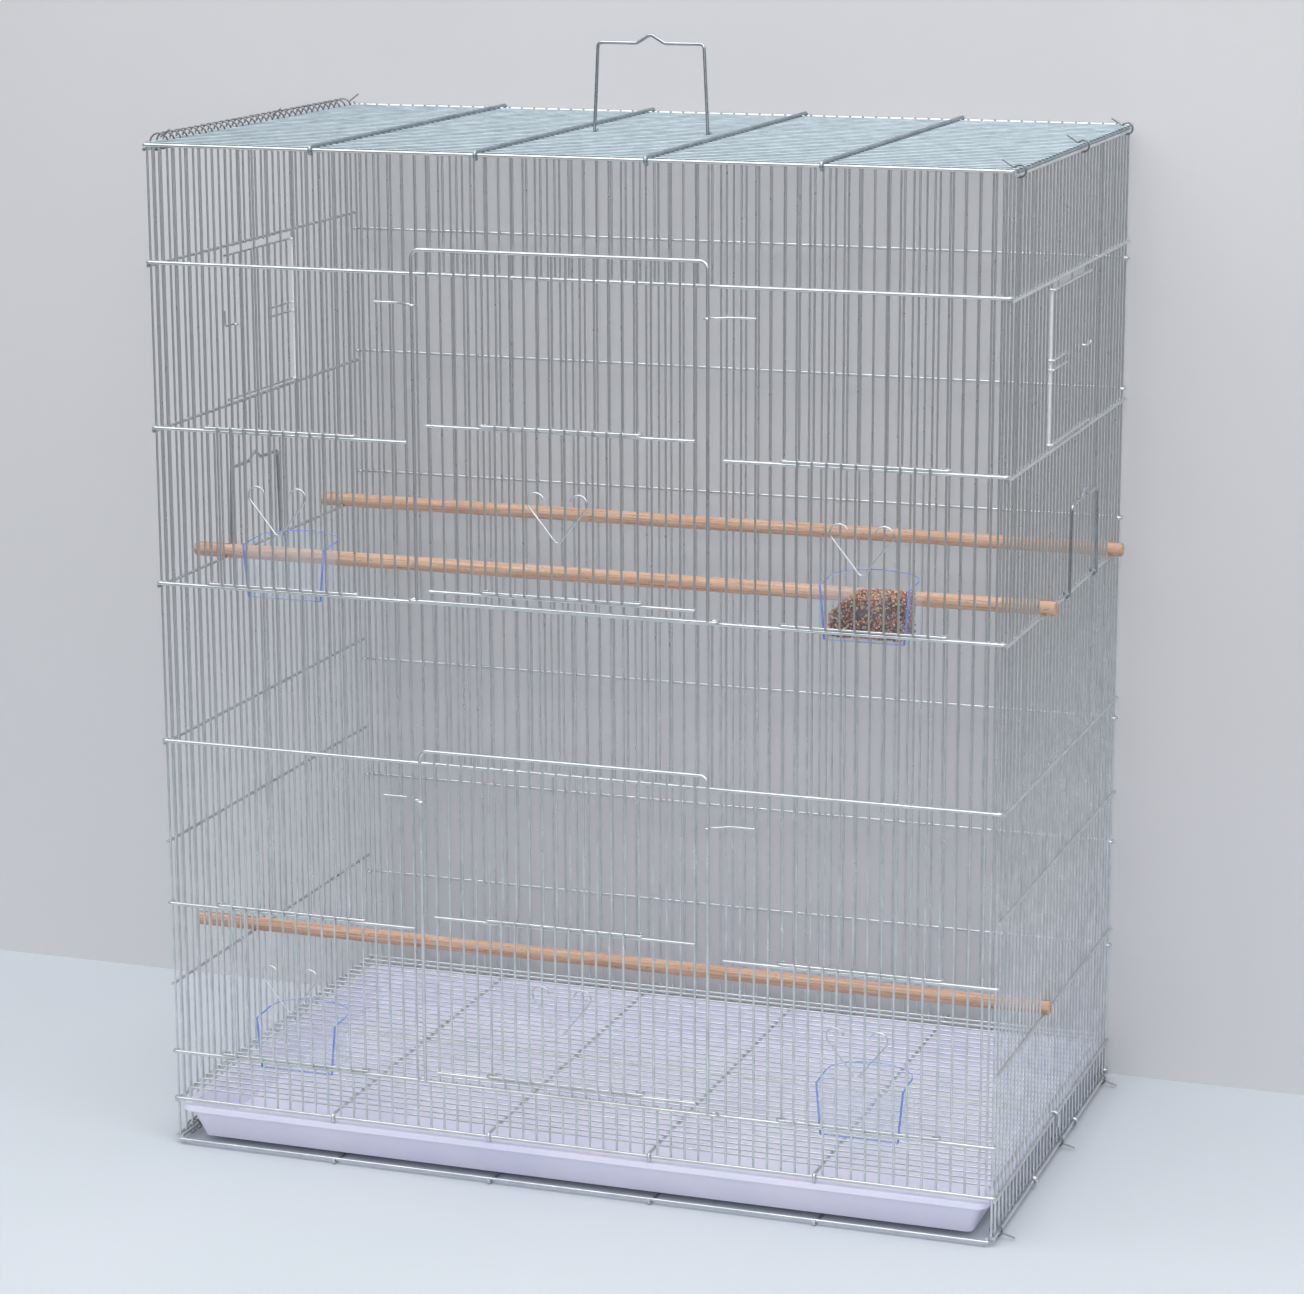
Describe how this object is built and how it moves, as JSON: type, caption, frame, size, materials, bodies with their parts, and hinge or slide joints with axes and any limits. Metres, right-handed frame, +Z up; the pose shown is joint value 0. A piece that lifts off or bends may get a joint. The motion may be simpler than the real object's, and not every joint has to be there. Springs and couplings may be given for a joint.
{
  "type": "wire bird cage",
  "caption": "Tall wire flight and breeding cage for small birds with lift-up doors, feeder cups, nest-box doors, perches, floor grille and slide-out tray.",
  "frame": {"origin": "on the floor, at the middle of the cage's own footprint", "axes": "+X to the cage's right seen from the front, +Y from the front to the back, +Z up"},
  "size_m": [0.8328, 0.4588, 0.9863],
  "materials": {
    "zinc_wire": "galvanised, satin",
    "bright_wire": "bright plated",
    "clear_plastic": "clear, moulded",
    "tray_plastic": "moulded, semi-gloss",
    "perch_wood": "bare turned dowel"
  },
  "bodies": {
    "cage": {"front_panel": "zinc_wire", "back_panel": "zinc_wire", "left_side_panel": "zinc_wire", "right_side_panel": "zinc_wire", "top_panel": "zinc_wire", "base_panel": "zinc_wire", "floor_grille": "zinc_wire", "top_hinge_coil": "zinc_wire", "base_hinge_coil": "zinc_wire", "top_edge_clips": "zinc_wire", "base_edge_clips": "zinc_wire", "upper_door_guides": "zinc_wire", "lower_door_guides": "zinc_wire", "upper_left_cup": "clear_plastic", "upper_right_cup": "clear_plastic", "lower_left_cup": "clear_plastic", "lower_right_cup": "clear_plastic", "upper_front_perch": "perch_wood", "upper_rear_perch": "perch_wood", "lower_perch": "perch_wood"},
    "upper_main_door": {"upper_main_door": "zinc_wire", "upper_door_frame": "zinc_wire"},
    "lower_main_door": {"lower_main_door": "zinc_wire", "lower_door_frame": "zinc_wire"},
    "upper_hatch": {"upper_hatch": "zinc_wire", "upper_hatch_pull": "zinc_wire"},
    "lower_hatch": {"lower_hatch": "zinc_wire", "lower_hatch_pull": "zinc_wire"},
    "upper_left_feeder_door": {"upper_left_feeder_door": "zinc_wire", "upper_left_feeder_pull": "zinc_wire"},
    "upper_right_feeder_door": {"upper_right_feeder_door": "zinc_wire", "upper_right_feeder_pull": "zinc_wire"},
    "lower_left_feeder_door": {"lower_left_feeder_door": "zinc_wire", "lower_left_feeder_pull": "zinc_wire"},
    "lower_right_feeder_door": {"lower_right_feeder_door": "zinc_wire", "lower_right_feeder_pull": "zinc_wire"},
    "tray": {"tray": "tray_plastic"},
    "top_handle": {"top_handle": "bright_wire"},
    "left_side_handle": {"left_side_handle": "bright_wire"},
    "right_side_handle": {"right_side_handle": "bright_wire"},
    "left_nest_door": {"left_nest_door": "zinc_wire"},
    "left_nest_latch": {"left_nest_latch": "zinc_wire"},
    "right_nest_door": {"right_nest_door": "zinc_wire"},
    "right_nest_latch": {"right_nest_latch": "zinc_wire"}
  },
  "joints": [
    {"name": "upper_main_lift", "type": "slide", "parent": "cage", "child": "upper_main_door", "axis": [0, 0, 1], "range_m": [0, 0.24]},
    {"name": "lower_main_lift", "type": "slide", "parent": "cage", "child": "lower_main_door", "axis": [0, 0, 1], "range_m": [0, 0.125]},
    {"name": "upper_hatch_lift", "type": "slide", "parent": "upper_main_door", "child": "upper_hatch", "axis": [0, 0, 1], "range_m": [0, 0.13]},
    {"name": "lower_hatch_lift", "type": "slide", "parent": "lower_main_door", "child": "lower_hatch", "axis": [0, 0, 1], "range_m": [0, 0.13]},
    {"name": "upper_left_feeder_lift", "type": "slide", "parent": "cage", "child": "upper_left_feeder_door", "axis": [0, 0, 1], "range_m": [0, 0.128]},
    {"name": "upper_right_feeder_lift", "type": "slide", "parent": "cage", "child": "upper_right_feeder_door", "axis": [0, 0, 1], "range_m": [0, 0.128]},
    {"name": "lower_left_feeder_lift", "type": "slide", "parent": "cage", "child": "lower_left_feeder_door", "axis": [0, 0, 1], "range_m": [0, 0.128]},
    {"name": "lower_right_feeder_lift", "type": "slide", "parent": "cage", "child": "lower_right_feeder_door", "axis": [0, 0, 1], "range_m": [0, 0.128]},
    {"name": "tray_slide", "type": "slide", "parent": "cage", "child": "tray", "axis": [0, -1, 0], "range_m": [0, 0.4]},
    {"name": "top_handle_swing", "type": "hinge", "parent": "cage", "child": "top_handle", "pos_m": [0, 0.0062, 0.89998], "axis": [1, 0, 0], "range_deg": [-88, 60]},
    {"name": "right_handle_swing", "type": "hinge", "parent": "cage", "child": "right_side_handle", "pos_m": [0.3795, 0.0496, 0.5154], "axis": [0, 1, 0], "range_deg": [0, 165]},
    {"name": "left_handle_swing", "type": "hinge", "parent": "cage", "child": "left_side_handle", "pos_m": [-0.3795, -0.0124, 0.5154], "axis": [0, -1, 0], "range_deg": [0, 165]},
    {"name": "right_nest_swing", "type": "hinge", "parent": "cage", "child": "right_nest_door", "pos_m": [0.37698, -0.0682, 0.7244], "axis": [0, 0, -1], "range_deg": [0, 150]},
    {"name": "left_nest_swing", "type": "hinge", "parent": "cage", "child": "left_nest_door", "pos_m": [-0.37698, 0.0682, 0.7244], "axis": [0, 0, -1], "range_deg": [0, 150]},
    {"name": "right_latch_turn", "type": "hinge", "parent": "right_nest_door", "child": "right_nest_latch", "pos_m": [0.37698, 0.0558, 0.7244], "axis": [0, 0, -1], "range_deg": [0, 70]},
    {"name": "left_latch_turn", "type": "hinge", "parent": "left_nest_door", "child": "left_nest_latch", "pos_m": [-0.37698, -0.0558, 0.7244], "axis": [0, 0, -1], "range_deg": [0, 70]}
  ]
}
